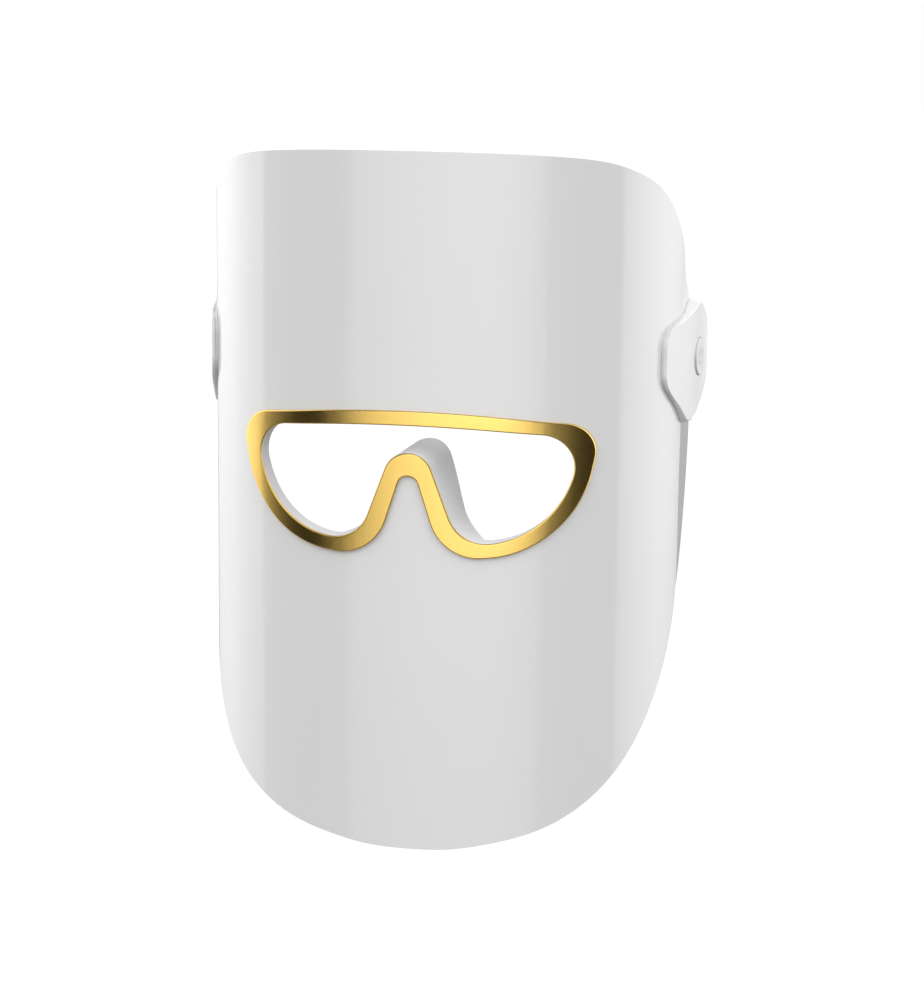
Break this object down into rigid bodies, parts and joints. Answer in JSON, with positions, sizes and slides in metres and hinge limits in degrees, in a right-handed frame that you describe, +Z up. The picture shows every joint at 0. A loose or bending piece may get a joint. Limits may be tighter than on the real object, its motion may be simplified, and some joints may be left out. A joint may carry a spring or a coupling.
{
  "type": "led face mask",
  "caption": "Cordless LED light-therapy face mask: curved glossy shield with a gold-trimmed eye opening, clear inner panel over lamp boards, temple pods, folding arms and a push button.",
  "frame": {"origin": "middle of the face opening, in the plane of the shield's straight rear ends, a little below the eyes", "axes": "+X toward the wearer's left, the wearer looks along -Y, +Z up along the shield"},
  "size_m": [0.1776, 0.163, 0.2392],
  "materials": {
    "shield_white": "glossy white moulded plastic",
    "trim_gold": "gold anodised, polished",
    "tunnel_grey": "satin light grey",
    "frame_grey": "satin light grey",
    "panel_clear": "clear moulded plastic",
    "silicone": "soft matte",
    "board_white": "white solder mask",
    "lamp": "clear lens over a yellow die",
    "flat_cable": "polyimide film",
    "board_green": "green solder mask",
    "chip_black": "moulded epoxy",
    "steel": "bright steel",
    "battery_foil": "foil pouch",
    "foam": "foam tape",
    "button_white": "satin white"
  },
  "bodies": {
    "mask": {"front_cover": "shield_white", "eye_trim": "trim_gold", "eye_tunnel": "tunnel_grey", "nose_pad": "silicone", "rear_frame": "frame_grey", "inner_panel": "panel_clear", "forehead_pad": "silicone", "frame_screws": "steel", "control_board": "board_green", "control_chips": "chip_black", "switch_housing": "chip_black", "usb_socket": "steel", "battery_cell": "battery_foil", "battery_foam": "foam", "pod_cover_left": "shield_white", "pod_cover_right": "shield_white", "led_board_forehead": "board_white", "leds_forehead": "lamp", "led_board_cheek_left": "board_white", "leds_cheek_left": "lamp", "led_board_cheek_right": "board_white", "leds_cheek_right": "lamp", "led_board_chin": "board_white", "leds_chin": "lamp", "link_cable_left": "flat_cable", "pod_cable_left": "flat_cable", "pod_screws_left": "steel", "hinge_bracket_left": "steel", "bracket_screws_left": "steel", "hinge_pin_left": "steel", "hinge_washers_left": "foam", "link_cable_right": "flat_cable", "pod_cable_right": "flat_cable", "pod_screws_right": "steel", "hinge_bracket_right": "steel", "bracket_screws_right": "steel", "hinge_pin_right": "steel", "hinge_washers_right": "foam"},
    "left_arm": {"arm_left": "shield_white", "arm_core_left": "steel", "arm_pad_left": "silicone"},
    "right_arm": {"arm_right": "shield_white", "arm_core_right": "steel", "arm_pad_right": "silicone"},
    "button": {"power_button": "button_white", "switch_plunger": "button_white"}
  },
  "joints": [
    {"name": "left_arm_fold", "type": "hinge", "parent": "mask", "child": "left_arm", "pos_m": [0.07949, 0.019, 0.0505], "axis": [0, 0, 1], "range_deg": [0, 85]},
    {"name": "right_arm_fold", "type": "hinge", "parent": "mask", "child": "right_arm", "pos_m": [-0.07949, 0.019, 0.0505], "axis": [0, 0, -1], "range_deg": [0, 85]},
    {"name": "button_press", "type": "slide", "parent": "mask", "child": "button", "axis": [-0.9967, 0.0808, 0], "range_m": [0, 0.0006], "stiffness_N_per_m": 1500, "springref_m": -0.0003}
  ]
}
